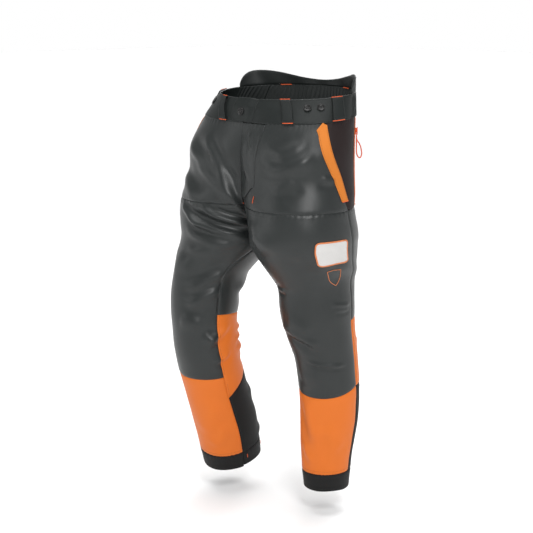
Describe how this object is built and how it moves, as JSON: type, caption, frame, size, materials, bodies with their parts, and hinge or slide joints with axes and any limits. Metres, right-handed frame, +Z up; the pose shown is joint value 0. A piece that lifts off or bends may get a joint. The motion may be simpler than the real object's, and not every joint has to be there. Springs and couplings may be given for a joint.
{
  "type": "chainsaw protective trousers",
  "caption": "Chainsaw protective trousers standing open as if worn: sewn panels over cut pads, fly, vent zips, brace buttons, belt loops and a raised back.",
  "frame": {"origin": "On the plane between the legs, at the height of the waist; Z falls along the legs.", "axes": "+Z up, the wearer faces -Y, the wearer's left is +X."},
  "size_m": [0.5441, 0.3848, 1.1111],
  "materials": {
    "charcoal_fabric": "satin woven polyester-cotton",
    "black_stretch": "matt stretch weave",
    "waistband_fabric": "doubled woven band",
    "orange_fabric": "high-visibility satin weave",
    "orange_trim": "bound tape",
    "orange_cord": "braided cord",
    "orange_plastic": "moulded",
    "cut_pad": "layered fibre pad",
    "badge": "woven badge, blank",
    "button": "moulded",
    "zip_metal": "dark plated"
  },
  "bodies": {
    "pelvis": {"waistband_front_left": "waistband_fabric", "waistband_front_right": "waistband_fabric", "waistband_back": "waistband_fabric", "kidney_flap": "waistband_fabric", "waist_stud": "zip_metal", "brace_button_outer_left": "button", "brace_button_inner_left": "button", "brace_button_back_left": "button", "brace_button_outer_right": "button", "brace_button_inner_right": "button", "brace_button_back_right": "button", "belt_loop_front_left": "waistband_fabric", "belt_loop_front_right": "waistband_fabric", "belt_loop_side_left": "waistband_fabric", "belt_loop_side_right": "waistband_fabric", "belt_loop_back_left": "waistband_fabric", "belt_loop_back_right": "waistband_fabric", "hip_front_left": "charcoal_fabric", "pocket_trim_left": "orange_trim", "side_panel_left": "black_stretch", "vent_zip_tape_left": "orange_trim", "seat_left": "charcoal_fabric", "pocket_bag_left": "black_stretch", "hip_front_right": "charcoal_fabric", "pocket_trim_right": "orange_trim", "side_panel_right": "black_stretch", "vent_zip_tape_right": "orange_trim", "seat_right": "charcoal_fabric", "pocket_bag_right": "black_stretch", "fly_zip_tape": "black_stretch"},
    "waist_tab": {"waist_tab": "waistband_fabric", "waist_button": "button"},
    "fly_flap": {"fly_flap": "charcoal_fabric"},
    "fly_slider": {"fly_zip_slider": "zip_metal", "fly_zip_pull": "zip_metal"},
    "thigh_left": {"upper_thigh_left": "charcoal_fabric", "thigh_front_left": "charcoal_fabric", "thigh_back_left": "charcoal_fabric", "thigh_pad_left": "cut_pad", "badge": "badge"},
    "shin_left": {"knee_front_left": "charcoal_fabric", "knee_back_left": "orange_fabric", "gaiter_left": "orange_fabric", "calf_left": "black_stretch", "shin_pad_left": "cut_pad", "hem_band_left": "black_stretch"},
    "vent_slider_left": {"vent_zip_slider_left": "orange_plastic"},
    "vent_pull_left": {"vent_pull_cord_left": "orange_cord"},
    "thigh_right": {"upper_thigh_right": "charcoal_fabric", "thigh_front_right": "charcoal_fabric", "thigh_back_right": "charcoal_fabric", "thigh_pad_right": "cut_pad"},
    "shin_right": {"knee_front_right": "charcoal_fabric", "knee_back_right": "orange_fabric", "gaiter_right": "orange_fabric", "calf_right": "black_stretch", "shin_pad_right": "cut_pad", "hem_band_right": "black_stretch"},
    "vent_slider_right": {"vent_zip_slider_right": "orange_plastic"},
    "vent_pull_right": {"vent_pull_cord_right": "orange_cord"}
  },
  "joints": [
    {"name": "hip_left", "type": "hinge", "parent": "pelvis", "child": "thigh_left", "pos_m": [0.14, 0.01, -0.36], "axis": [-1, 0, 0], "range_deg": [-15, 35], "deforming": ["upper_thigh_left", "thigh_pad_left"]},
    {"name": "knee_left", "type": "hinge", "parent": "thigh_left", "child": "shin_left", "pos_m": [0.152, 0.07, -0.65], "axis": [1, 0, 0], "range_deg": [0, 70], "deforming": ["knee_front_left", "knee_back_left", "shin_pad_left"]},
    {"name": "hip_right", "type": "hinge", "parent": "pelvis", "child": "thigh_right", "pos_m": [-0.14, 0.01, -0.36], "axis": [-1, 0, 0], "range_deg": [-15, 35], "deforming": ["upper_thigh_right", "thigh_pad_right"]},
    {"name": "knee_right", "type": "hinge", "parent": "thigh_right", "child": "shin_right", "pos_m": [-0.159, -0.078, -0.645], "axis": [1, 0, 0], "range_deg": [0, 70], "deforming": ["knee_front_right", "knee_back_right", "shin_pad_right"]},
    {"name": "waist_tab_open", "type": "hinge", "parent": "pelvis", "child": "waist_tab", "pos_m": [0.03686, -0.06646, 0.01854], "axis": [0.0101, 0.407, 0.9134], "range_deg": [0, 75]},
    {"name": "fly_flap_open", "type": "hinge", "parent": "pelvis", "child": "fly_flap", "pos_m": [0.08082, -0.10176, -0.04654], "axis": [0.041, 0.2101, 0.9768], "range_deg": [0, 90]},
    {"name": "fly_zip", "type": "slide", "parent": "pelvis", "child": "fly_slider", "axis": [0, -0.0205, -0.9998], "range_m": [0, 0.104]},
    {"name": "vent_zip_left", "type": "slide", "parent": "pelvis", "child": "vent_slider_left", "axis": [0.0893, -0.0789, -0.9929], "range_m": [0, 0.154]},
    {"name": "vent_pull_left", "type": "hinge", "parent": "vent_slider_left", "child": "vent_pull_left", "pos_m": [0.21334, 0.11316, -0.07668], "axis": [0.6316, -0.7663, 0.1177], "range_deg": [0, 85]},
    {"name": "vent_zip_right", "type": "slide", "parent": "pelvis", "child": "vent_slider_right", "axis": [-0.0893, -0.0789, -0.9929], "range_m": [0, 0.154]},
    {"name": "vent_pull_right", "type": "hinge", "parent": "vent_slider_right", "child": "vent_pull_right", "pos_m": [-0.21334, 0.11316, -0.07668], "axis": [0.6316, 0.7663, -0.1177], "range_deg": [0, 85]}
  ]
}
